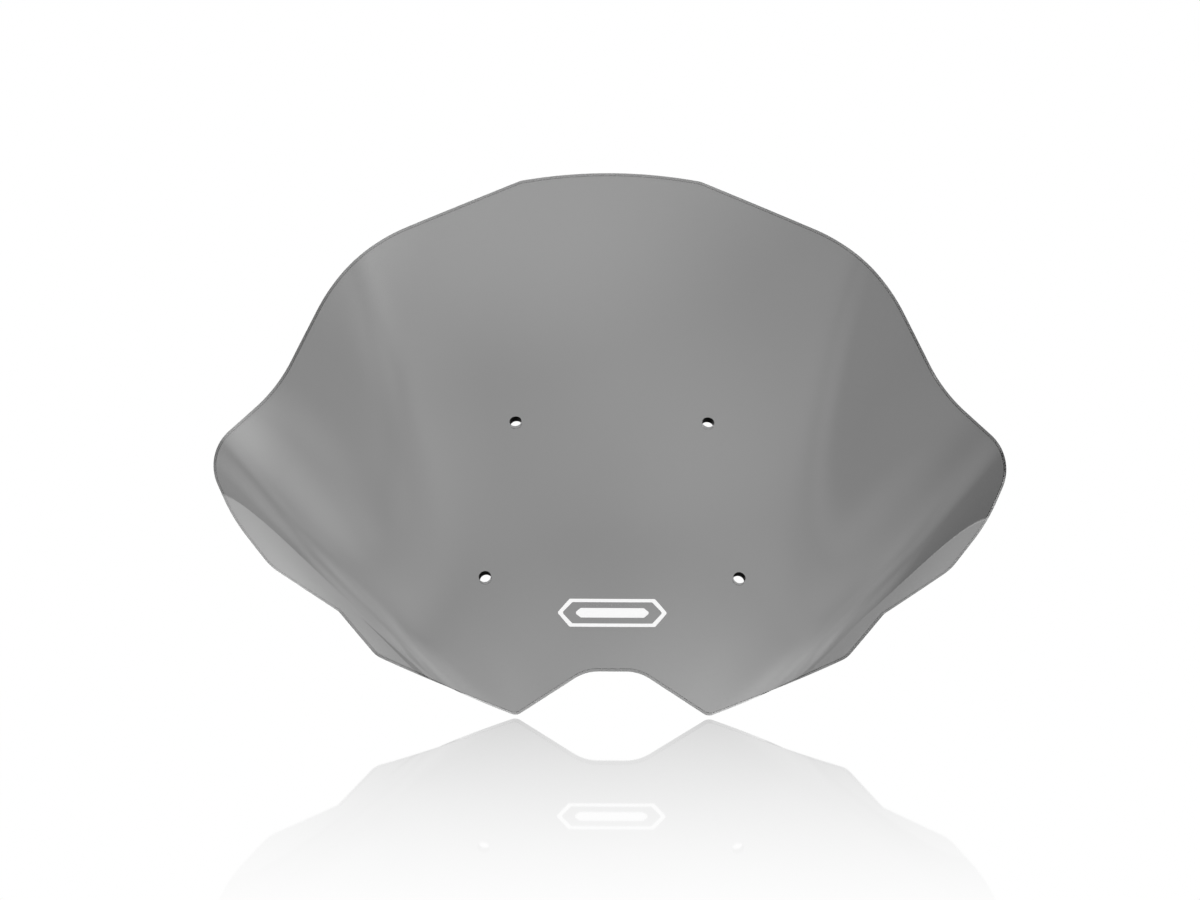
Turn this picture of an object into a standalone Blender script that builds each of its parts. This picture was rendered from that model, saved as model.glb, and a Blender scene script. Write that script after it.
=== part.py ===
"""A motorcycle windshield screen: one smoked acrylic sheet, formed hot, trimmed and drilled, with a
small transfer on its outer face.

X runs across the screen, Y from its outer (wind) face towards the rider, and Z up. The outer face is
a height field y = depth(x, z): every outline below is drawn in the X-Z plane and lifted onto it, and
the sheet's thickness is laid behind it along the face's own normals. Lengths are in metres.
"""

import math

import bpy
from mathutils import Vector
from mathutils.geometry import delaunay_2d_cdt

MM = 0.001

# The sheet
THICKNESS = 4.0 * MM
EDGE_BREAK = 0.6 * MM
HOLE_RADIUS = 3.0 * MM
HOLE_EDGE_BREAK = 0.25 * MM

# Its rake: the slope at the middle of the hole pattern, and the radius that steepens it upwards
RAKE_SLOPE = 0.65
RAKE_RADIUS = 420.0 * MM

# Its crown: the radius across the middle
CROWN_RADIUS = 425.0 * MM

# The folds that bend each half, from the middle outwards. A fold is a line in the X-Z plane, given by
# its upper and lower points and bowed outwards between them by "bow". Everything outboard of the line
# gains "slope" along the line's perpendicular, and the bend is rounded over a half-width of "soft".
# Both are given at the line's upper and lower points, and change evenly along it.
SHOULDER_FOLD = {
    "top": (145.0, 150.0), "low": (90.5, -90.0), "bow": 10.0,
    "slope": (0.50, 0.65), "soft": (14.0, 41.0),
}
VALLEY_FOLD = {
    "top": (201.5, 56.0), "low": (110.0, -60.0), "bow": 9.0,
    "slope": (-0.68, -1.59), "soft": (56.5, 60.0),
}
LIP_FOLD = {
    "top": (184.0, 4.0), "low": (115.5, -72.0), "bow": 0.6,
    "slope": (1.56, 3.33), "soft": (24.6, 32.0),
}
FOLDS = (SHOULDER_FOLD, VALLEY_FOLD, LIP_FOLD)

# The right half of the outline as corners (x, z, fillet radius) in millimetres, from the crest on the
# centre line, down the side and round to the notch
CREST = (0.0, 178.7, 265.0)
SIDE_CORNERS = (
    (48.7, 170.6, 12.0),  # end of the crest
    (141.4, 130.4, 94.0),  # shoulder
    (176.6, 57.4, 81.0),  # waist above the wing
    (215.4, 21.9, 23.0),  # wing tip
    (196.9, -12.0, 95.0),  # wing's rounded trailing edge
    (175.0, -35.8, 29.0),  # heel of the wing
    (136.7, -56.5, 8.0),  # inner corner under the wing
    (117.0, -77.6, 12.0),  # outer corner of the lower edge
    (47.0, -103.1, 5.0),  # lobe tip
    (13.2, -81.6, 22.0),  # corner of the notch
)

# The holes, and the flat seat that each screw's washer bears on
HOLE_CENTRES = ((49.0, 39.4), (63.0, -37.9))
SEAT_FLAT_RADIUS = 9.0 * MM
SEAT_BLEND_RADIUS = 18.0 * MM

# The transfer: a hexagonal band round a bar, in film that lies just clear of the face
BADGE_CENTRE_Z = -55.0
BADGE_FILM = 0.25 * MM
BADGE_GAP = 0.3 * MM
BADGE_CORNER_FILLET = 1.0
BADGE_BAND_OUTER = {"half_width": 27.0, "half_height": 6.7, "point": 6.0}
BADGE_BAND_INNER = {"half_width": 24.6, "half_height": 5.1, "point": 5.0}
BADGE_BAR = {"half_width": 18.5, "half_height": 2.3, "point": 3.0}

# Mesh density
GRID = 8.0 * MM
OUTLINE_STEP = 5.0 * MM
BADGE_STEP = 3.0 * MM
ARC_STEP = math.radians(12.0)
HOLE_SIDES = 24
SEAT_RING_RADII = (5.8 * MM, SEAT_FLAT_RADIUS)
RIM_CLEARANCE = 0.6 * GRID
SEAT_CLEARANCE = 0.4 * GRID
SLOPE_STEP = 0.01 * MM
SHARP_ANGLE = math.radians(35.0)

# Colours
SMOKE_GREY = (0.12, 0.12, 0.12)
SMOKE_ALPHA = 0.62
FILM_WHITE = (0.85, 0.85, 0.85)


def clear_scene():
    for item in list(bpy.context.scene.objects):
        bpy.data.objects.remove(item, do_unlink=True)


# ---- the formed face ----


def soft_ramp(distance, half_width):
    """0 before a fold and the distance past it after, joined without a jump in curvature."""
    place = min(max(distance / half_width, -1.0), 1.0)
    rounded = 0.5 * (1.0 + place) ** 2 - (1.0 + math.cos(math.pi * place)) / math.pi ** 2
    return 0.5 * half_width * rounded + max(distance - half_width, 0.0)


def fold_depth(fold, x, z):
    top = Vector(fold["top"]) * MM
    low = Vector(fold["low"]) * MM
    along = (low - top).normalized()
    outboard = Vector((-along.y, along.x))
    offset = Vector((abs(x), z)) - top
    share = offset.dot(along) / (low - top).length
    past = offset.dot(outboard) + fold["bow"] * MM * 4.0 * share * (1.0 - share)
    return blend(fold["slope"], share) * soft_ramp(past, blend(fold["soft"], share) * MM)


def blend(pair, share):
    return pair[0] + (pair[1] - pair[0]) * share


def formed_depth(x, z):
    """How far behind the pattern's middle the outer face lies, before the seats are pressed flat."""
    rake = RAKE_SLOPE * z + z * z / (2.0 * RAKE_RADIUS)
    crown = x * x / (2.0 * CROWN_RADIUS)
    return rake + crown + sum(fold_depth(fold, x, z) for fold in FOLDS)


def slopes(surface, x, z):
    across = (surface(x + SLOPE_STEP, z) - surface(x - SLOPE_STEP, z)) / (2.0 * SLOPE_STEP)
    upward = (surface(x, z + SLOPE_STEP) - surface(x, z - SLOPE_STEP)) / (2.0 * SLOPE_STEP)
    return across, upward


class Seat:
    """The flat patch round one hole: the plane that touches the formed face at the hole's centre."""

    def __init__(self, x, z):
        self.x, self.z = x, z
        self.across, self.upward = slopes(formed_depth, x, z)
        self.centre = Vector((x, formed_depth(x, z), z))
        self.normal = Vector((self.across, -1.0, self.upward)).normalized()

    def plane_depth(self, x, z):
        return self.centre.y + self.across * (x - self.x) + self.upward * (z - self.z)

    def share_of_form(self, x, z):
        """0 on the flat, 1 where the formed face is left as it was."""
        radius = (Vector((x, self.plane_depth(x, z), z)) - self.centre).length
        share = (radius - SEAT_FLAT_RADIUS) / (SEAT_BLEND_RADIUS - SEAT_FLAT_RADIUS)
        share = min(max(share, 0.0), 1.0)
        return share * share * (3.0 - 2.0 * share)

    def ring(self, radius):
        """Points round the hole on the seat, in plan, clockwise so that the sheet is on their left."""
        side = Vector((1.0, self.across, 0.0)).normalized()
        up = self.normal.cross(side)
        turn = -2.0 * math.pi / HOLE_SIDES
        offsets = (
            side * math.cos(turn * i) + up * math.sin(turn * i) for i in range(HOLE_SIDES)
        )
        points = (self.centre + offset * radius for offset in offsets)
        return [Vector((point.x, point.z)) for point in points]


SEATS = [
    Seat(side * x * MM, z * MM) for x, z in HOLE_CENTRES for side in (1.0, -1.0)
]


def depth(x, z):
    y = formed_depth(x, z)
    for seat in SEATS:
        share = seat.share_of_form(x, z)
        if share < 1.0:
            flat = seat.plane_depth(x, z)
            y = flat + (y - flat) * share
    return y


def face_point(plan):
    return Vector((plan.x, depth(plan.x, plan.y), plan.y))


def face_normal(plan):
    across, upward = slopes(depth, plan.x, plan.y)
    return Vector((across, -1.0, upward)).normalized()


# ---- outlines in plan ----


def line_points(start, end, step):
    """Evenly spaced points from start up to, but not including, end."""
    count = max(1, math.ceil((end - start).length / step))
    return [start.lerp(end, i / count) for i in range(count)]


def rounded_outline(corners, step):
    """A closed anticlockwise outline: straight runs joined by an arc at each corner."""
    arcs = []
    for i, (x, z, radius) in enumerate(corners):
        corner = Vector((x, z)) * MM
        before = (Vector(corners[i - 1][:2]) * MM - corner).normalized()
        after = (Vector(corners[(i + 1) % len(corners)][:2]) * MM - corner).normalized()
        half_turn = 0.5 * (math.pi - before.angle(after))
        tangent = radius * MM * math.tan(half_turn)
        centre = corner + (before + after).normalized() * radius * MM / math.cos(half_turn)
        spoke = corner + before * tangent - centre
        turn = 2.0 * half_turn * (1.0 if before.cross(after) < 0.0 else -1.0)
        count = max(2, math.ceil(max(abs(turn) / ARC_STEP, abs(turn) * radius * MM / step)))
        arcs.append([centre + rotated(spoke, turn * k / count) for k in range(count + 1)])
    points = []
    for arc, following in zip(arcs, arcs[1:] + arcs[:1]):
        points += arc[:-1] + line_points(arc[-1], following[0], step)
    return points


def rotated(spoke, angle):
    cosine, sine = math.cos(angle), math.sin(angle)
    return Vector((spoke.x * cosine - spoke.y * sine, spoke.x * sine + spoke.y * cosine))


def panel_outline():
    left = [(-x, z, radius) for x, z, radius in SIDE_CORNERS]
    right = list(reversed(SIDE_CORNERS))
    return rounded_outline([CREST] + left + right, OUTLINE_STEP)


def badge_outline(shape):
    """A long hexagon, pointed at its two ends."""
    end, height = shape["half_width"], shape["half_height"]
    shoulder = end - shape["point"]
    ring = (
        (end, 0.0),
        (shoulder, height),
        (-shoulder, height),
        (-end, 0.0),
        (-shoulder, -height),
        (shoulder, -height),
    )
    corners = [(x, z + BADGE_CENTRE_Z, BADGE_CORNER_FILLET) for x, z in ring]
    return rounded_outline(corners, BADGE_STEP)


def grid_points(outline):
    """A staggered grid of points that keep clear of the outline and of the seats."""
    low_x, high_x = min(p.x for p in outline), max(p.x for p in outline)
    low_z, high_z = min(p.y for p in outline), max(p.y for p in outline)
    row_step = GRID * math.sqrt(3.0) / 2.0
    columns = math.ceil((high_x - low_x) / GRID)
    points = []
    for row in range(math.ceil((high_z - low_z) / row_step) + 1):
        stagger = 0.25 if row % 2 else -0.25
        for column in range(columns + 1):
            x = (column - columns / 2.0 + stagger) * GRID
            point = Vector((x, low_z + row * row_step))
            if inside(point, outline) and is_clear(point, outline):
                points.append(point)
    return points


def inside(point, outline):
    crossings = 0
    for start, end in zip(outline, outline[1:] + outline[:1]):
        if (start.y > point.y) != (end.y > point.y):
            reach = start.x + (point.y - start.y) * (end.x - start.x) / (end.y - start.y)
            crossings += point.x < reach
    return crossings % 2 == 1


def is_clear(point, outline):
    if min((point - other).length for other in outline) < RIM_CLEARANCE:
        return False
    return all(
        (point - Vector((seat.x, seat.z))).length > SEAT_FLAT_RADIUS + SEAT_CLEARANCE
        for seat in SEATS
    )


# ---- solids ----


def rim_inward(outline):
    """At each point of an outline, the direction in the face that points into the sheet."""
    directions = []
    for i, point in enumerate(outline):
        ahead = face_point(outline[(i + 1) % len(outline)])
        behind = face_point(outline[i - 1])
        directions.append((ahead - behind).cross(face_normal(point)).normalized() * -1.0)
    return directions


def sheet_solid(name, rims, inner, lift, thickness, breaks, material):
    """A closed sheet over the face, between lift and lift - thickness, measured outwards.

    rims are the outlines, the outer one first; each has its edge broken by its value in breaks, or is
    left square where that is 0.
    """
    plan = []
    front = []
    back = []
    loops = []
    walls = []
    for rim, edge in zip(rims, breaks):
        first = len(plan)
        inward = rim_inward(rim)
        for point, into in zip(rim, inward):
            normal = face_normal(point)
            top = face_point(point) + normal * lift
            inset = top + into * edge
            plan.append(Vector((inset.x, inset.z)))
            front.append(inset)
            back.append(inset - normal * thickness)
            if edge > 0.0:
                walls.append((top - normal * edge, top - normal * (thickness - edge)))
        loops.append(range(first, len(plan)))
    for point in inner:
        normal = face_normal(point)
        plan.append(point)
        front.append(face_point(point) + normal * lift)
        back.append(front[-1] - normal * thickness)

    edges = [(i, j) for loop in loops for i, j in around(loop)]
    inside_outline = 1
    triangles = delaunay_2d_cdt(plan, edges, [], inside_outline, 1e-9)[2]
    openings = [set(loop) for loop in loops[1:]]
    triangles = [face for face in triangles if not any(hole.issuperset(face) for hole in openings)]

    count = len(plan)
    upper_wall = 2 * count
    lower_wall = upper_wall + len(walls)
    vertices = front + back + [pair[0] for pair in walls] + [pair[1] for pair in walls]
    faces = [tuple(face) for face in triangles]
    faces += [tuple(count + i for i in reversed(face)) for face in triangles]
    wall_rows = (0, upper_wall, lower_wall, count) if walls else (0, count)
    for i, j in edges:
        for near, far in zip(wall_rows, wall_rows[1:]):
            faces.append((near + i, far + i, far + j, near + j))

    mesh = bpy.data.meshes.new(name)
    mesh.from_pydata([vertex - ORIGIN for vertex in vertices], [], faces)
    mesh.shade_smooth()
    mesh.set_sharp_from_angle(angle=SHARP_ANGLE)
    mesh.materials.append(material)
    solid = bpy.data.objects.new(name, mesh)
    bpy.context.scene.collection.objects.link(solid)
    return solid


def around(loop):
    indices = list(loop)
    return zip(indices, indices[1:] + indices[:1])


def pattern_origin():
    """The middle of the four holes where they leave the back of the sheet."""
    mouths = [seat.centre - seat.normal * THICKNESS for seat in SEATS]
    return sum(mouths, Vector()) / len(mouths)


ORIGIN = pattern_origin()


# ---- materials and the parts ----


def plain_material(name, colour, roughness, alpha=1.0):
    material = bpy.data.materials.new(name)
    material.use_nodes = True
    shader = material.node_tree.nodes["Principled BSDF"]
    shader.inputs["Base Color"].default_value = (*colour, 1.0)
    shader.inputs["Roughness"].default_value = roughness
    shader.inputs["Metallic"].default_value = 0.0
    shader.inputs["Alpha"].default_value = alpha
    material.diffuse_color = (*colour, alpha)
    return material


def make_screen_panel():
    outline = panel_outline()
    holes = [seat.ring(HOLE_RADIUS) for seat in SEATS]
    inner = grid_points(outline)
    for seat in SEATS:
        for radius in SEAT_RING_RADII:
            inner += seat.ring(radius)
    breaks = [EDGE_BREAK] + [HOLE_EDGE_BREAK] * len(holes)
    smoke = plain_material("smoked_acrylic", SMOKE_GREY, 0.05, SMOKE_ALPHA)
    sheet_solid("screen_panel", [outline] + holes, inner, 0.0, THICKNESS, breaks, smoke)


def make_badge():
    lift = BADGE_GAP + BADGE_FILM
    white = plain_material("white_film", FILM_WHITE, 0.4)
    outer = badge_outline(BADGE_BAND_OUTER)
    inner = list(reversed(badge_outline(BADGE_BAND_INNER)))
    square = [0.0, 0.0]
    sheet_solid("badge_frame", [outer, inner], [], lift, BADGE_FILM, square, white)
    bar_white = plain_material("white_film_bar", FILM_WHITE, 0.4)
    bar = badge_outline(BADGE_BAR)
    sheet_solid("badge_bar", [bar], [], lift, BADGE_FILM, square[:1], bar_white)


def main():
    clear_scene()
    make_screen_panel()
    make_badge()


if __name__ == "__main__":
    main()
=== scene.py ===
"""The looks of a motorcycle windshield screen: smoked acrylic with dull cut edges and a film badge.

The sheet is modelled again here at fine resolution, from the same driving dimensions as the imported
CAD part, so that its curves, edges and holes are smooth enough to refract and reflect cleanly. The
outer face is a height field y = depth(x, z) in the sheet's own frame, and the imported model's origin
is the middle of the four holes at the back of the sheet. Lengths are in metres.
"""

import math

import bpy
import numpy as np
from mathutils import Matrix, Vector
from mathutils.geometry import delaunay_2d_cdt


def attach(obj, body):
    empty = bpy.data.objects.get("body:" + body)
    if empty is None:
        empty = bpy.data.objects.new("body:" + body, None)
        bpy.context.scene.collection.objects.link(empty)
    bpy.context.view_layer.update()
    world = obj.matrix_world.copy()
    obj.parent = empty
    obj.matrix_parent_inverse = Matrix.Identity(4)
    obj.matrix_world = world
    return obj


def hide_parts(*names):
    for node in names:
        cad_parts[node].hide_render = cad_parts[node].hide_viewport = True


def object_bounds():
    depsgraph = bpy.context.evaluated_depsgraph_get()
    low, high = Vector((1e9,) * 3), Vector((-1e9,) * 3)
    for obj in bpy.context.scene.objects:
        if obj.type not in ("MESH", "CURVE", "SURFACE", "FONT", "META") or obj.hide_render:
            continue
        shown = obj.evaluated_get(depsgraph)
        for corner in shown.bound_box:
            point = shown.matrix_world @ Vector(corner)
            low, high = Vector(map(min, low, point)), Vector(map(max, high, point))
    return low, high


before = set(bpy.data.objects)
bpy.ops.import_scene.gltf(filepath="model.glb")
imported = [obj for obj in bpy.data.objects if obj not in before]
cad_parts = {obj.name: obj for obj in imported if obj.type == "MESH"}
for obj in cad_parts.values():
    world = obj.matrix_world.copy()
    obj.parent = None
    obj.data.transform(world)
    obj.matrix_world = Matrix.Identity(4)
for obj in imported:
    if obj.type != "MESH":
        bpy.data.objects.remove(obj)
cad_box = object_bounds()

MM = 0.001

# ---- driving dimensions, as in the CAD part ----

THICKNESS = 4.0 * MM
HOLE_RADIUS = 3.0 * MM
RAKE_SLOPE = 0.65
RAKE_RADIUS = 420.0 * MM
CROWN_RADIUS = 425.0 * MM

# Folds, from the middle outwards: a bowed line in plan, and the slope gained past it and its soft
# half-width, each at the line's top and low end
SHOULDER_FOLD = {
    "top": (145.0, 150.0), "low": (90.5, -90.0), "bow": 10.0,
    "slope": (0.50, 0.65), "soft": (14.0, 41.0),
}
VALLEY_FOLD = {
    "top": (201.5, 56.0), "low": (110.0, -60.0), "bow": 9.0,
    "slope": (-0.68, -1.59), "soft": (56.5, 60.0),
}
LIP_FOLD = {
    "top": (184.0, 4.0), "low": (115.5, -72.0), "bow": 0.6,
    "slope": (1.56, 3.33), "soft": (24.6, 32.0),
}
FOLDS = (SHOULDER_FOLD, VALLEY_FOLD, LIP_FOLD)

# Outline corners of the right half: x, z and fillet radius in millimetres
CREST = (0.0, 178.7, 265.0)
SIDE_CORNERS = (
    (48.7, 170.6, 12.0),  # end of the crest
    (141.4, 130.4, 94.0),  # shoulder
    (176.6, 57.4, 81.0),  # waist above the wing
    (215.4, 21.9, 23.0),  # wing tip
    (196.9, -12.0, 95.0),  # wing's rounded trailing edge
    (175.0, -35.8, 29.0),  # heel of the wing
    (136.7, -56.5, 8.0),  # inner corner under the wing
    (117.0, -77.6, 12.0),  # outer corner of the lower edge
    (47.0, -103.1, 5.0),  # lobe tip
    (13.2, -81.6, 22.0),  # corner of the notch
)

HOLE_CENTRES = ((49.0, 39.4), (63.0, -37.9))

BADGE_CENTRE_Z = -55.0
BADGE_CORNER_FILLET = 1.0
BADGE_BAND_OUTER = {"half_width": 27.0, "half_height": 6.7, "point": 6.0}
BADGE_BAND_INNER = {"half_width": 24.6, "half_height": 5.1, "point": 5.0}
BADGE_BAR = {"half_width": 18.5, "half_height": 2.3, "point": 3.0}

# ---- what only the looks need ----

EDGE_ROUND = 0.20 * MM
HOLE_ROUND = 0.08 * MM
FILM_THICKNESS = 0.12 * MM
FILM_LIFT = 0.15 * MM
ROUND_STEPS = 5

PANEL_GRID = 3.0 * MM
OUTLINE_STEP = 1.5 * MM
BADGE_GRID = 1.2 * MM
ARC_STEP = math.radians(6.0)
HOLE_SIDES = 64
HOLE_RING_RADII = (3.6 * MM, 4.4 * MM, 6.0 * MM, 9.0 * MM)
SLOPE_STEP = 0.01 * MM


# ---- the formed face ----


def soft_ramp(distance, half_width):
    """0 before a fold and the distance past it after, joined without a jump in curvature."""
    place = np.clip(distance / half_width, -1.0, 1.0)
    rounded = 0.5 * (1.0 + place) ** 2 - (1.0 + np.cos(math.pi * place)) / math.pi ** 2
    return 0.5 * half_width * rounded + np.maximum(distance - half_width, 0.0)


def fold_depth(fold, x, z):
    top = np.array(fold["top"]) * MM
    low = np.array(fold["low"]) * MM
    length = np.linalg.norm(low - top)
    along = (low - top) / length
    out, rise = np.abs(x) - top[0], z - top[1]
    share = (out * along[0] + rise * along[1]) / length
    past = rise * along[0] - out * along[1] + fold["bow"] * MM * 4.0 * share * (1.0 - share)
    slope = fold["slope"][0] + (fold["slope"][1] - fold["slope"][0]) * share
    soft = fold["soft"][0] + (fold["soft"][1] - fold["soft"][0]) * share
    return slope * soft_ramp(past, soft * MM)


def depth(x, z):
    rake = RAKE_SLOPE * z + z * z / (2.0 * RAKE_RADIUS)
    crown = x * x / (2.0 * CROWN_RADIUS)
    return rake + crown + sum(fold_depth(fold, x, z) for fold in FOLDS)


def slopes(surface, x, z):
    across = (surface(x + SLOPE_STEP, z) - surface(x - SLOPE_STEP, z)) / (2.0 * SLOPE_STEP)
    upward = (surface(x, z + SLOPE_STEP) - surface(x, z - SLOPE_STEP)) / (2.0 * SLOPE_STEP)
    return across, upward


def unit(vectors):
    return vectors / np.linalg.norm(vectors, axis=-1, keepdims=True)


class Hole:
    """One screw hole, square to the face at its centre."""

    def __init__(self, x, z):
        self.x, self.z = x, z
        self.across, upward = slopes(depth, x, z)
        self.centre = np.array((x, depth(x, z), z))
        self.normal = unit(np.array((self.across, -1.0, upward)))

    def ring(self, radius):
        """Points round the hole, in plan, clockwise so that the sheet is on their left."""
        side = unit(np.array((1.0, self.across, 0.0)))
        up = np.cross(self.normal, side)
        turn = -2.0 * math.pi * np.arange(HOLE_SIDES)[:, None] / HOLE_SIDES
        points = self.centre + radius * (side * np.cos(turn) + up * np.sin(turn))
        return points[:, [0, 2]]


HOLES = [Hole(side * x * MM, z * MM) for x, z in HOLE_CENTRES for side in (1.0, -1.0)]
ORIGIN = np.mean([hole.centre - hole.normal * THICKNESS for hole in HOLES], axis=0)


def face_points(plan):
    return np.stack([plan[:, 0], depth(plan[:, 0], plan[:, 1]), plan[:, 1]], -1)


def face_normals(plan):
    across, upward = slopes(depth, plan[:, 0], plan[:, 1])
    return unit(np.stack([across, -np.ones_like(across), upward], -1))


# ---- outlines in plan ----


def rounded_outline(corners, step):
    """A closed anticlockwise outline: straight runs joined by an arc at each corner."""
    corners = np.array(corners) * MM
    arcs = []
    for i, (x, z, radius) in enumerate(corners):
        corner = np.array((x, z))
        before = unit(corners[i - 1][:2] - corner)
        after = unit(corners[(i + 1) % len(corners)][:2] - corner)
        half_turn = 0.5 * math.acos(-before @ after)
        centre = corner + unit(before + after) * radius / math.cos(half_turn)
        spoke = corner + before * radius * math.tan(half_turn) - centre
        leftwards = before[0] * after[1] - before[1] * after[0] < 0.0
        turn = 2.0 * half_turn if leftwards else -2.0 * half_turn
        count = max(2, math.ceil(max(abs(turn) / ARC_STEP, abs(turn) * radius / step)))
        angles = np.linspace(0.0, turn, count + 1)[:, None]
        sideways = np.array((-spoke[1], spoke[0]))
        arcs.append(centre + spoke * np.cos(angles) + sideways * np.sin(angles))
    points = []
    for arc, following in zip(arcs, arcs[1:] + arcs[:1]):
        run = following[0] - arc[-1]
        count = max(1, math.ceil(np.linalg.norm(run) / step))
        points += [arc[:-1], arc[-1] + run * np.arange(count)[:, None] / count]
    return np.concatenate(points)


def panel_outline():
    left = [(-x, z, radius) for x, z, radius in SIDE_CORNERS]
    return rounded_outline([CREST, *left, *reversed(SIDE_CORNERS)], OUTLINE_STEP)


def badge_outline(shape):
    """A long hexagon, pointed at its two ends."""
    end, height = shape["half_width"], shape["half_height"]
    shoulder = end - shape["point"]
    ring = (
        (end, 0.0),
        (shoulder, height),
        (-shoulder, height),
        (-end, 0.0),
        (-shoulder, -height),
        (shoulder, -height),
    )
    corners = [(x, z + BADGE_CENTRE_Z, BADGE_CORNER_FILLET) for x, z in ring]
    return rounded_outline(corners, BADGE_GRID)


def inside(points, outline):
    start, end = outline, np.roll(outline, -1, axis=0)
    crossings = np.zeros(len(points), int)
    for (x0, z0), (x1, z1) in zip(start, end):
        spans = (z0 > points[:, 1]) != (z1 > points[:, 1])
        reach = x0 + (points[:, 1] - z0) * (x1 - x0) / (z1 - z0 if z1 != z0 else 1.0)
        crossings += spans & (points[:, 0] < reach)
    return crossings % 2 == 1


def nearest(points, others):
    found = np.full(len(points), np.inf)
    for other in others:
        found = np.minimum(found, np.linalg.norm(points - other, axis=1))
    return found


def grid_points(rims, step, holes=()):
    """A staggered grid inside the first rim, clear of every rim and of the holes' rings."""
    low, high = rims[0].min(axis=0), rims[0].max(axis=0)
    row_step = step * math.sqrt(3.0) / 2.0
    columns = math.ceil((high[0] - low[0]) / step)
    points = []
    for row in range(math.ceil((high[1] - low[1]) / row_step) + 1):
        shift = 0.25 * step if row % 2 else -0.25 * step
        xs = (np.arange(columns + 1) - columns / 2.0) * step + shift
        points.append(np.stack([xs, np.full_like(xs, low[1] + row * row_step)], -1))
    points = np.concatenate(points)
    points = points[inside(points, rims[0])]
    for rim in rims[1:]:
        points = points[~inside(points, rim)]
    for rim in rims:
        points = points[nearest(points, rim) > 0.6 * step]
    for hole in holes:
        away = np.linalg.norm(points - (hole.x, hole.z), axis=1)
        points = points[away > HOLE_RING_RADII[-1] + 0.5 * step]
    return points


# ---- meshes ----


def rim_profile(rim, lift, thickness, radius):
    """Rows of points and normals that round an edge from the front face over to the back."""
    points, normals = face_points(rim), face_normals(rim)
    ahead = np.roll(points, -1, axis=0) - np.roll(points, 1, axis=0)
    into = -unit(np.cross(ahead, normals))
    top = points + normals * lift
    rows = []
    for k in range(ROUND_STEPS + 1):
        angle = 0.5 * math.pi * k / ROUND_STEPS
        sine, cosine = math.sin(angle), math.cos(angle)
        place = top + into * radius * (1.0 - sine) - normals * radius * (1.0 - cosine)
        rows.append((place, normals * cosine - into * sine))
    middle = top - normals * thickness / 2.0
    for place, facing in reversed(rows[:]):
        below = 2.0 * np.sum((place - middle) * normals, axis=1, keepdims=True)
        lean = 2.0 * np.sum(facing * normals, axis=1, keepdims=True)
        rows.append((place - normals * below, facing - normals * lean))
    return rows


def sheet_piece(name, rims, inner, lift, thickness, radii, materials):
    """A closed sheet over the face whose edges are rounded, with exact normals.

    The materials are those of both faces, of the outer edge and of the edges of the openings.
    """
    profiles = [rim_profile(rim, lift, thickness, r) for rim, r in zip(rims, radii)]
    inner_normals = face_normals(inner)
    inner_front = face_points(inner) + inner_normals * lift
    front = np.concatenate([rows[0][0] for rows in profiles] + [inner_front])
    back = [rows[-1][0] for rows in profiles] + [inner_front - inner_normals * thickness]
    back = np.concatenate(back)
    normals = np.concatenate([rows[0][1] for rows in profiles] + [inner_normals])
    count = len(front)

    loops = []
    for rim in rims:
        first = loops[-1][-1] + 1 if loops else 0
        loops.append(np.arange(first, first + len(rim)))
    edges = np.concatenate([np.stack([loop, np.roll(loop, -1)], -1) for loop in loops])
    plan = [Vector(point) for point in front[:, [0, 2]]]
    inside_outline = 1
    triangles = delaunay_2d_cdt(plan, edges.tolist(), [], inside_outline, 1e-9)[2]
    openings = [set(loop.tolist()) for loop in loops[1:]]
    triangles = [face for face in triangles if not any(hole.issuperset(face) for hole in openings)]

    vertices, facing = [front, back], [normals, -normals]
    rim_count = len(edges)
    rows = len(profiles[0])
    for k in range(1, rows - 1):
        vertices.append(np.concatenate([profile[k][0] for profile in profiles]))
        facing.append(np.concatenate([profile[k][1] for profile in profiles]))
    bases = [0] + [2 * count + rim_count * k for k in range(rows - 2)] + [count]
    faces = [tuple(face) for face in triangles]
    faces += [tuple(count + i for i in reversed(face)) for face in triangles]
    face_count = len(faces)
    for near, far in zip(bases, bases[1:]):
        faces += [(near + i, far + i, far + j, near + j) for i, j in edges.tolist()]

    mesh = bpy.data.meshes.new(name)
    mesh.from_pydata((np.concatenate(vertices) - ORIGIN).tolist(), [], faces)
    mesh.shade_smooth()
    for material in materials:
        mesh.materials.append(material)
    slots = np.zeros(len(faces), np.int32)
    edge_slots = np.where(np.arange(rim_count) < len(rims[0]), 1, 2)
    slots[face_count:] = np.tile(edge_slots, len(bases) - 1)
    mesh.polygons.foreach_set("material_index", slots)
    mesh.normals_split_custom_set_from_vertices(np.concatenate(facing).tolist())
    piece = bpy.data.objects.new(name, mesh)
    bpy.context.scene.collection.objects.link(piece)
    return piece


# ---- materials ----


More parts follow.
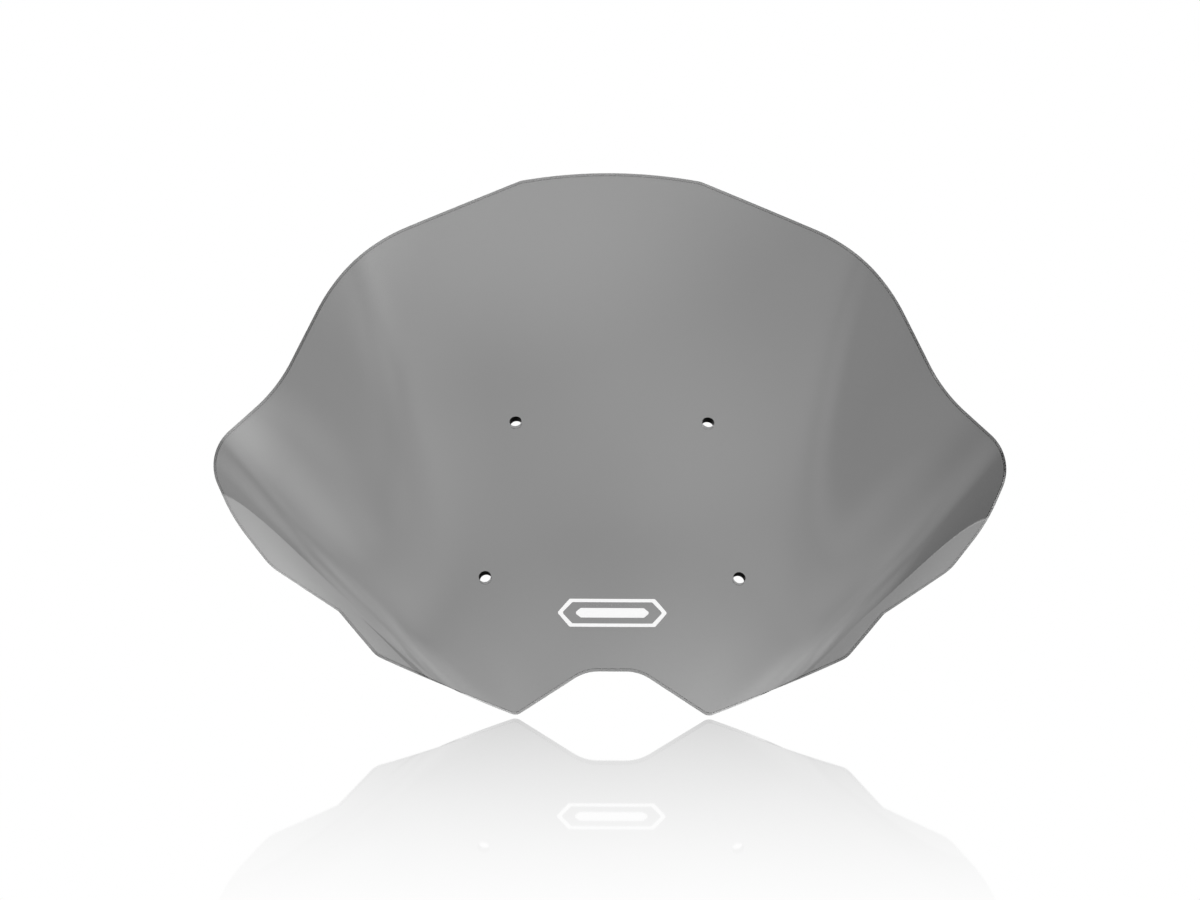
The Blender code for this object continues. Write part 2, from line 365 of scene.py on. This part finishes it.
class Nodes:
    """A small helper that adds and wires the nodes of one material, or of a given node tree."""

    def __init__(self, name=None, tree=None):
        self.tree = tree
        if name:
            self.material = bpy.data.materials.new(name)
            self.material.use_nodes = True
            self.tree = self.material.node_tree
            self.shader = self.tree.nodes["Principled BSDF"]
            self.output = self.tree.nodes["Material Output"]

    def add(self, kind, inputs=None, **settings):
        node = self.tree.nodes.new(kind)
        for key, value in settings.items():
            setattr(node, key, value)
        for key, value in (inputs or {}).items():
            if isinstance(value, bpy.types.NodeSocket):
                self.tree.links.new(value, node.inputs[key])
            else:
                node.inputs[key].default_value = value
        return node

    def ramp(self, value, start, end, low, high, kind="LINEAR"):
        node = self.add("ShaderNodeMapRange", {
            "Value": value, "From Min": start, "From Max": end, "To Min": low, "To Max": high,
        }, interpolation_type=kind)
        return node.outputs["Result"]

    def smooth(self, value, start, end, low, high):
        return self.ramp(value, start, end, low, high, "SMOOTHSTEP")

    def mix(self, share, first, second):
        return self.ramp(share, 0.0, 1.0, first, second)

    def above(self, value, limit):
        return self.math("GREATER_THAN", value, limit)

    def math(self, operation, first, second):
        node = self.add("ShaderNodeMath", {0: first, 1: second}, operation=operation)
        return node.outputs["Value"]

    def link(self, socket, target):
        self.tree.links.new(socket, target)


SMOKE_DENSITY = 345.0
ACRYLIC_IOR = 1.49
HARD_COAT_IOR = 1.5
RUB_NOISE = (0.35, 0.75)
WAVE_SCALE = 16.0
WAVE_HEIGHT = 0.12 * MM
# Near-black colour painted on the holes' walls as their shade
BORE_PAINTED_SHADE_TONE = 0.004

# Roughness where least and most rubbed, and how many marks to the metre
FACE_FINISH = (0.0, 0.012, 14.0)
CUT_FINISH = (0.22, 0.34, 220.0)
BORE_FINISH = (0.03, 0.08, 220.0)


def smoked_acrylic(name, finish, drilled=False):
    """Hard-coated acrylic, dyed grey through its depth, with faint rubs and the waves of forming.

    A drilled wall is dull and painted near black from the hole's side as painted shade, and still
    turns the light inside the sheet.
    """
    least_rough, most_rough, mark_scale = finish
    nodes = Nodes(name)
    shader = nodes.shader
    shader.inputs["Base Color"].default_value = (1.0, 1.0, 1.0, 1.0)
    shader.inputs["Transmission Weight"].default_value = 1.0
    shader.inputs["IOR"].default_value = ACRYLIC_IOR
    shader.inputs["Coat Weight"].default_value = 1.0
    shader.inputs["Coat IOR"].default_value = HARD_COAT_IOR
    shader.inputs["Coat Roughness"].default_value = 0.0
    place = nodes.add("ShaderNodeTexCoord").outputs["Object"]
    marks = nodes.add("ShaderNodeTexNoise", {
        "Vector": place, "Scale": mark_scale, "Detail": 6.0, "Roughness": 0.62,
    })
    rub = nodes.add("ShaderNodeMapRange", {
        "Value": marks.outputs["Fac"], "From Min": RUB_NOISE[0], "From Max": RUB_NOISE[1],
        "To Min": least_rough, "To Max": most_rough,
    })
    nodes.link(rub.outputs["Result"], shader.inputs["Roughness"])
    waves = nodes.add("ShaderNodeTexNoise", {
        "Vector": place, "Scale": WAVE_SCALE, "Detail": 1.0, "Roughness": 0.4,
    })
    bump = nodes.add("ShaderNodeBump", {
        "Height": waves.outputs["Fac"], "Strength": 1.0, "Distance": WAVE_HEIGHT,
    })
    nodes.link(bump.outputs["Normal"], shader.inputs["Normal"])
    dye = nodes.add("ShaderNodeVolumeAbsorption", {
        "Color": (0.0, 0.0, 0.0, 1.0), "Density": SMOKE_DENSITY,
    })
    nodes.link(dye.outputs["Volume"], nodes.output.inputs["Volume"])
    if drilled:
        # Painted shade: the wall seen from the hole is near black, dull and with little gloss
        painted_shade_wall = nodes.add("ShaderNodeBsdfPrincipled", {
            "Base Color": (BORE_PAINTED_SHADE_TONE, BORE_PAINTED_SHADE_TONE, BORE_PAINTED_SHADE_TONE, 1.0),
            "Roughness": 0.6, "Specular IOR Level": 0.1,
        })
        inner_side = nodes.add("ShaderNodeNewGeometry").outputs["Backfacing"]
        wall = nodes.add("ShaderNodeMixShader", {
            0: inner_side, 1: painted_shade_wall.outputs["BSDF"], 2: shader.outputs["BSDF"],
        })
        nodes.link(wall.outputs["Shader"], nodes.output.inputs["Surface"])
    return nodes.material


FILM_GRAIN_SCALE = 900.0
FILM_GRAIN_HEIGHT = 0.02 * MM
FILM_TONE = (0.90, 0.97)
FILM_ROUGHNESS = (0.38, 0.52)


def white_film(name):
    """Cut white vinyl: satin, with a faint print grain."""
    nodes = Nodes(name)
    shader = nodes.shader
    place = nodes.add("ShaderNodeTexCoord").outputs["Object"]
    grain = nodes.add("ShaderNodeTexNoise", {
        "Vector": place, "Scale": FILM_GRAIN_SCALE, "Detail": 3.0,
    })
    tone = nodes.add("ShaderNodeMapRange", {
        "Value": grain.outputs["Fac"], "To Min": FILM_TONE[0], "To Max": FILM_TONE[1],
    })
    colour = nodes.add("ShaderNodeCombineColor", {
        "Red": tone.outputs["Result"], "Green": tone.outputs["Result"],
        "Blue": tone.outputs["Result"],
    })
    nodes.link(colour.outputs["Color"], shader.inputs["Base Color"])
    rough = nodes.add("ShaderNodeMapRange", {
        "Value": grain.outputs["Fac"],
        "To Min": FILM_ROUGHNESS[0], "To Max": FILM_ROUGHNESS[1],
    })
    nodes.link(rough.outputs["Result"], shader.inputs["Roughness"])
    bump = nodes.add("ShaderNodeBump", {
        "Height": grain.outputs["Fac"], "Strength": 0.3, "Distance": FILM_GRAIN_HEIGHT,
    })
    nodes.link(bump.outputs["Normal"], shader.inputs["Normal"])
    return nodes.material


# ---- the pieces ----


def make_screen():
    outline = panel_outline()
    rims = [outline] + [hole.ring(HOLE_RADIUS) for hole in HOLES]
    radii = [EDGE_ROUND] + [HOLE_ROUND] * len(HOLES)
    inner = [grid_points([outline], PANEL_GRID, HOLES)]
    inner += [hole.ring(radius) for hole in HOLES for radius in HOLE_RING_RADII]
    faces = smoked_acrylic("smoked_acrylic_face", FACE_FINISH)
    edges = smoked_acrylic("smoked_acrylic_edge", CUT_FINISH)
    bores = smoked_acrylic("smoked_acrylic_bore", BORE_FINISH, drilled=True)
    screen = sheet_piece(
        "smoked_screen", rims, np.concatenate(inner), 0.0, THICKNESS, radii,
        [faces, edges, bores],
    )
    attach(screen, "root")
    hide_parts("screen_panel")


def make_badge():
    film = white_film("white_vinyl")
    outer, inner = badge_outline(BADGE_BAND_OUTER), badge_outline(BADGE_BAND_INNER)[::-1]
    bar = badge_outline(BADGE_BAR)
    round_over = 0.3 * FILM_THICKNESS
    for name, node, rims in (
        ("badge_outline_film", "badge_frame", [outer, inner]),
        ("badge_bar_film", "badge_bar", [bar]),
    ):
        fill = grid_points(rims, BADGE_GRID)
        radii = [round_over] * len(rims)
        piece = sheet_piece(name, rims, fill, FILM_LIFT, FILM_THICKNESS, radii, [film] * 3)
        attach(piece, "root")
        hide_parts(node)


# ---- the studio ----


FLOOR_HALF_SIZE = 12.0
FLOOR_GAP = 1.1 * MM

# The floor as gloss reflects it, painted light and shade: bright to each side of the screen and
# before its lobes, a painted shadow beneath it, and dimmer again further to the front
FLOOR_LEFT = 1.54
FLOOR_RIGHT = 0.85
FLOOR_FRONT = 1.0
FLOOR_FAR = 0.5
SHADE_SIDES = (0.15, 0.20)
SHADE_FRONT = (0.0, -0.025)
PANEL_FRONT = (-0.07, -0.10)

# How much the floor mirrors: the share under the screen, how it fades towards the front and stops
# behind the screen, and the grazing angles that it needs
FLOOR_MIRROR = 0.5
FLOOR_MIRROR_FADE = 1.2
FLOOR_MIRROR_FRONT = -0.85
FLOOR_MIRROR_BACK = (0.05, 0.25)
FLOOR_MIRROR_GRAZING = (0.75, 0.90)
FLOOR_MIRROR_ROUGHNESS = 0.02


def make_floor(level):
    """A white glossy sweep: it glows an even white to the eye, with painted light and a painted
    shadow beneath the screen where gloss sees it, and mirrors what stands on it at a low angle.
    """
    mesh = bpy.data.meshes.new("floor")
    corners = [
        (x * FLOOR_HALF_SIZE, y * FLOOR_HALF_SIZE, level)
        for x, y in ((-1, -1), (1, -1), (1, 1), (-1, 1))
    ]
    mesh.from_pydata(corners, [], [(0, 1, 2, 3)])
    nodes = Nodes("white_acrylic_floor")
    nodes.tree.nodes.remove(nodes.shader)
    place = nodes.add("ShaderNodeTexCoord").outputs["Object"]
    across = nodes.add("ShaderNodeSeparateXYZ", {"Vector": place})
    ray = nodes.add("ShaderNodeLightPath")
    reflected = nodes.above(ray.outputs["Glossy Depth"], 0.5)
    from_inside = nodes.above(ray.outputs["Transmission Depth"], 0.5)
    # Painted shadow under the screen as gloss sees it; light that has passed through the sheet sees
    # it white
    painted_shadow_under_screen = nodes.smooth(across.outputs["Y"], *SHADE_FRONT, 0.0, FLOOR_FRONT)
    painted_shadow_under_screen = nodes.mix(from_inside, painted_shadow_under_screen, 1.0)
    left = nodes.smooth(across.outputs["X"], *(-edge for edge in SHADE_SIDES), 0.0, 1.0)
    right = nodes.smooth(across.outputs["X"], *SHADE_SIDES, 0.0, 1.0)
    panels = nodes.mix(right, nodes.mix(left, painted_shadow_under_screen, FLOOR_LEFT), FLOOR_RIGHT)
    in_front = nodes.smooth(across.outputs["Y"], *PANEL_FRONT, 0.0, 1.0)
    painted_gloss_light = nodes.mix(in_front, panels, FLOOR_FAR)
    near = nodes.ramp(across.outputs["Y"], FLOOR_MIRROR_FRONT, 0.0, 0.0, 1.0)
    near = nodes.math("POWER", near, FLOOR_MIRROR_FADE)
    behind = nodes.smooth(across.outputs["Y"], *FLOOR_MIRROR_BACK, FLOOR_MIRROR, 0.0)
    near = nodes.math("MULTIPLY", near, behind)
    facing = nodes.add("ShaderNodeLayerWeight", {"Blend": 0.5}).outputs["Facing"]
    grazing = nodes.smooth(facing, *FLOOR_MIRROR_GRAZING, 0.0, 1.0)
    share = nodes.math("MULTIPLY", near, grazing)
    share = nodes.math("MULTIPLY", share, ray.outputs["Is Camera Ray"])
    glow = nodes.add("ShaderNodeEmission", {
        "Color": (1.0, 1.0, 1.0, 1.0), "Strength": nodes.mix(reflected, 1.0, painted_gloss_light),
    })
    mirror = nodes.add("ShaderNodeBsdfGlossy", {
        "Color": (1.0, 1.0, 1.0, 1.0), "Roughness": FLOOR_MIRROR_ROUGHNESS,
    })
    mixed = nodes.add("ShaderNodeMixShader", {
        0: share, 1: glow.outputs["Emission"], 2: mirror.outputs["BSDF"],
    })
    nodes.link(mixed.outputs["Shader"], nodes.output.inputs["Surface"])
    mesh.materials.append(nodes.material)
    floor = bpy.data.objects.new("floor", mesh)
    bpy.context.scene.collection.objects.link(floor)


# Soft lights seen in the gloss: azimuth from the front and elevation in degrees, half-angle in
# degrees, and brightness
SOFT_LIGHTS = (
    (0, 88, 38, 0.45),  # overhead
    (-150, 68, 32, 0.93),
    (-30, 68, 32, 0.45),
    (60, 68, 32, 0.43),
    (-45, 44, 35, 0.36),  # front, above
    (45, 44, 35, 0.42),
    (0, 30, 32, 1.00),  # front
    (25, 30, 32, 0.69),
    (-30, 30, 21, 0.65),
    (30, 30, 21, 0.40),
    (-45, 28, 21, 0.49),
    (45, 28, 21, 0.13),
    (-40, 15, 21, 0.65),  # front, low
    (40, 15, 21, 0.55),
    (-60, 3, 21, 0.90),
    (60, 3, 21, 0.83),
    (60, 15, 21, 0.43),
    (-65, 55, 21, 0.35),  # left
    (-65, 29, 21, 0.82),
    (-75, 40, 21, 0.24),
    (-80, 20, 21, 0.27),
    (-80, 4, 21, 1.10),
    (-95, 42, 21, 0.31),
    (-95, 29, 21, 0.49),
    (-95, 12, 21, 0.19),
    (-110, 55, 21, 0.81),
    (-110, 16, 21, 0.59),
    (-130, 42, 21, 0.98),
    (65, 29, 21, 0.45),  # right
    (80, 20, 21, 0.25),
    (80, 4, 21, 0.54),
    (95, 42, 21, 0.45),
)
# How far towards the back gloss begins and ends to see the white backdrop: from outside the sheet,
# and from inside it
BACKDROP_RISE = (0.75, 0.95)
INNER_BACKDROP_RISE = (0.05, 0.25)
# A low white wall on the left: its height, where along the left it rises, and how soft its top is
LEFT_WALL_TOP = 0.11
LEFT_WALL_RISE = (-0.15, -0.45)
LEFT_WALL_EDGE = 0.01


def make_world():
    """An even white surround, with a studio of soft lights in its place for what gloss reflects."""
    world = bpy.data.worlds.new("studio")
    bpy.context.scene.world = world
    world.use_nodes = True
    nodes = Nodes(tree=world.node_tree)
    nodes.tree.nodes.clear()

    direction = nodes.add("ShaderNodeTexCoord").outputs["Generated"]
    parts = nodes.add("ShaderNodeSeparateXYZ", {"Vector": direction}).outputs
    ray = nodes.add("ShaderNodeLightPath")
    reflected = nodes.above(ray.outputs["Glossy Depth"], 0.5)
    from_inside = nodes.above(ray.outputs["Transmission Depth"], 0.5)
    total = nodes.mix(
        from_inside,
        nodes.smooth(parts["Y"], *BACKDROP_RISE, 0.0, 1.0),
        nodes.smooth(parts["Y"], *INNER_BACKDROP_RISE, 0.0, 1.0),
    )
    for azimuth, elevation, spread, brightness in SOFT_LIGHTS:
        turn, lift = math.radians(azimuth), math.radians(elevation)
        level = math.cos(lift)
        aim = (math.sin(turn) * level, -math.cos(turn) * level, math.sin(lift))
        near = nodes.add("ShaderNodeVectorMath", {0: direction, 1: aim}, operation="DOT_PRODUCT")
        edge = math.cos(math.radians(spread))
        glow = nodes.smooth(near.outputs["Value"], edge, 1.0, 0.0, brightness)
        total = nodes.math("ADD", total, glow)

    wall_top = nodes.smooth(parts["X"], *LEFT_WALL_RISE, 0.0, LEFT_WALL_TOP)
    below = nodes.math("SUBTRACT", wall_top, parts["Z"])
    on_wall = nodes.smooth(below, -LEFT_WALL_EDGE, LEFT_WALL_EDGE, 0.0, 1.0)

    even = nodes.add("ShaderNodeBackground", {"Color": (1.0, 1.0, 1.0, 1.0), "Strength": 1.0})
    studio = nodes.add("ShaderNodeBackground", {
        "Color": (1.0, 1.0, 1.0, 1.0), "Strength": nodes.mix(on_wall, total, FLOOR_LEFT),
    })
    mixed = nodes.add("ShaderNodeMixShader", {
        0: reflected, 1: even.outputs["Background"], 2: studio.outputs["Background"],
    })
    output = nodes.add("ShaderNodeOutputWorld")
    nodes.link(mixed.outputs["Shader"], output.inputs["Surface"])


CAMERA_DISTANCE = 1.8
CAMERA_AZIMUTH = math.radians(-0.42)
CAMERA_ROLL = math.radians(0.285)
CAMERA_AIM = Vector((-6.2, 0.0, 25.0)) * MM
CAMERA_LENS = 108.0
CAMERA_SENSOR = 36.0
LIGHT_BOUNCES = 16
GLOSS_BOUNCES = 8


def make_camera():
    data = bpy.data.cameras.new("camera")
    data.lens = CAMERA_LENS
    data.sensor_width = CAMERA_SENSOR
    camera = bpy.data.objects.new("camera", data)
    bpy.context.scene.collection.objects.link(camera)
    back = Vector((math.sin(CAMERA_AZIMUTH), -math.cos(CAMERA_AZIMUTH), 0.0))
    up = Vector((0.0, 0.0, 1.0))
    right = up.cross(back)
    turned = Matrix.Rotation(CAMERA_ROLL, 3, back)
    axes = Matrix((turned @ right, turned @ up, back)).transposed()
    camera.matrix_world = axes.to_4x4()
    camera.location = CAMERA_AIM - Vector(ORIGIN) + back * CAMERA_DISTANCE
    bpy.context.scene.camera = camera


def set_view():
    scene = bpy.context.scene
    scene.view_settings.view_transform = "Standard"
    scene.view_settings.look = "None"
    scene.cycles.max_bounces = LIGHT_BOUNCES
    scene.cycles.transmission_bounces = LIGHT_BOUNCES
    scene.cycles.glossy_bounces = GLOSS_BOUNCES


make_screen()
make_badge()
make_floor(cad_box[0].z - FLOOR_GAP)
make_world()
make_camera()
set_view()
